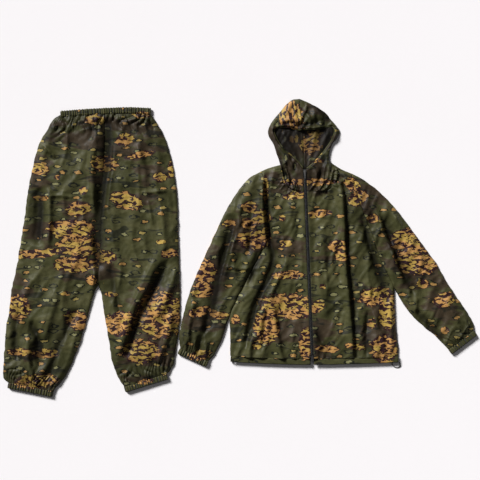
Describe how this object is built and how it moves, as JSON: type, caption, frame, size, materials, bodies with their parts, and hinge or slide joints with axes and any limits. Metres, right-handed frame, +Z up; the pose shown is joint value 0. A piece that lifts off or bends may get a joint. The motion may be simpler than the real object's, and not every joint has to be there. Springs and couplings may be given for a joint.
{
  "type": "camouflage over-suit",
  "caption": "Light two-piece camouflage over-suit laid flat: hooded full-zip jacket with elastic cuffs and loose trousers with elastic waist and ankles.",
  "frame": {"origin": "on the floor, under the middle of the two garments' joint extent", "axes": "+X from the trousers to the jacket, +Y towards the hood, +Z up through the garments' fronts"},
  "size_m": [1.8422, 1.1616, 0.0305],
  "materials": {
    "jacket_cloth": "camouflage print, slightly satin",
    "trouser_cloth": "camouflage print, slightly satin",
    "elastic": "knitted elastic",
    "cord": "braided elastic cord",
    "zip_tape": "woven tape",
    "zip_teeth": "satin",
    "zip_metal": "semi-gloss dark enamel"
  },
  "bodies": {
    "jacket": {"jacket_back": "jacket_cloth", "jacket_front_right": "jacket_cloth", "side_seam_right": "jacket_cloth", "shoulder_seam_right": "jacket_cloth", "hood_throat_right": "jacket_cloth", "neck_seam_right": "jacket_cloth", "hem_casing_right": "jacket_cloth", "zip_tape_right": "zip_tape", "zip_teeth_right": "zip_teeth", "zip_top_stop_right": "zip_teeth", "jacket_front_left": "jacket_cloth", "side_seam_left": "jacket_cloth", "shoulder_seam_left": "jacket_cloth", "hood_throat_left": "jacket_cloth", "neck_seam_left": "jacket_cloth", "hem_casing_left": "jacket_cloth", "zip_tape_left": "zip_tape", "zip_teeth_left": "zip_teeth", "zip_top_stop_left": "zip_teeth", "zip_box": "zip_teeth", "hem_cord_loop": "cord"},
    "hood": {"hood_back_right": "jacket_cloth", "hood_front_right": "jacket_cloth", "hood_crown_fold_right": "jacket_cloth", "hood_back_left": "jacket_cloth", "hood_front_left": "jacket_cloth", "hood_crown_fold_left": "jacket_cloth", "hood_rim": "jacket_cloth"},
    "right_sleeve": {"sleeve_front_right": "jacket_cloth", "sleeve_back_right": "jacket_cloth", "sleeve_outer_fold_right": "jacket_cloth", "underarm_seam_right": "jacket_cloth", "cuff_casing_right": "jacket_cloth", "cuff_elastic_right": "elastic"},
    "left_sleeve": {"sleeve_front_left": "jacket_cloth", "sleeve_back_left": "jacket_cloth", "sleeve_outer_fold_left": "jacket_cloth", "underarm_seam_left": "jacket_cloth", "cuff_casing_left": "jacket_cloth", "cuff_elastic_left": "elastic"},
    "trousers_right_half": {"trouser_front_right": "trouser_cloth", "trouser_back_right": "trouser_cloth", "outseam_right": "trouser_cloth", "inseam_right": "trouser_cloth", "waist_casing_right": "trouser_cloth", "waist_elastic_right": "elastic", "ankle_casing_right": "trouser_cloth", "ankle_elastic_right": "elastic"},
    "trousers_left_half": {"trouser_front_left": "trouser_cloth", "trouser_back_left": "trouser_cloth", "outseam_left": "trouser_cloth", "inseam_left": "trouser_cloth", "waist_casing_left": "trouser_cloth", "waist_elastic_left": "elastic", "ankle_casing_left": "trouser_cloth", "ankle_elastic_left": "elastic"},
    "slider": {"zip_slider": "zip_metal"},
    "puller": {"zip_puller": "zip_metal"}
  },
  "joints": [
    {"name": "hood_fold", "type": "hinge", "parent": "jacket", "child": "hood", "pos_m": [0.26029, 0.32395, 0.028], "axis": [1, 0, 0], "range_deg": [0, 120]},
    {"name": "right_sleeve_fold", "type": "hinge", "parent": "jacket", "child": "right_sleeve", "pos_m": [0.11499, 0.13395, 0.028], "axis": [0, 1, 0], "range_deg": [0, 170]},
    {"name": "left_sleeve_fold", "type": "hinge", "parent": "jacket", "child": "left_sleeve", "pos_m": [0.50426, 0.06505, 0.028], "axis": [0.3408, -0.9401, 0], "range_deg": [0, 140]},
    {"name": "zip_run", "type": "slide", "parent": "jacket", "child": "slider", "axis": [0.0401, -0.9992, 0], "range_m": [0, 0.706]},
    {"name": "puller_swing", "type": "hinge", "parent": "slider", "child": "puller", "pos_m": [0.25079, 0.2961, 0.0295], "axis": [-0.9992, -0.0401, 0], "range_deg": [0, 165]},
    {"name": "trousers_lift", "type": "slide", "parent": "jacket", "child": "trousers_right_half", "axis": [0, 0, 1], "range_m": [0, 0.25]},
    {"name": "trousers_fold", "type": "hinge", "parent": "trousers_right_half", "child": "trousers_left_half", "pos_m": [-0.5248, 0.53795, 0.028], "axis": [-0.0394, -0.9992, 0], "range_deg": [0, 170]}
  ]
}
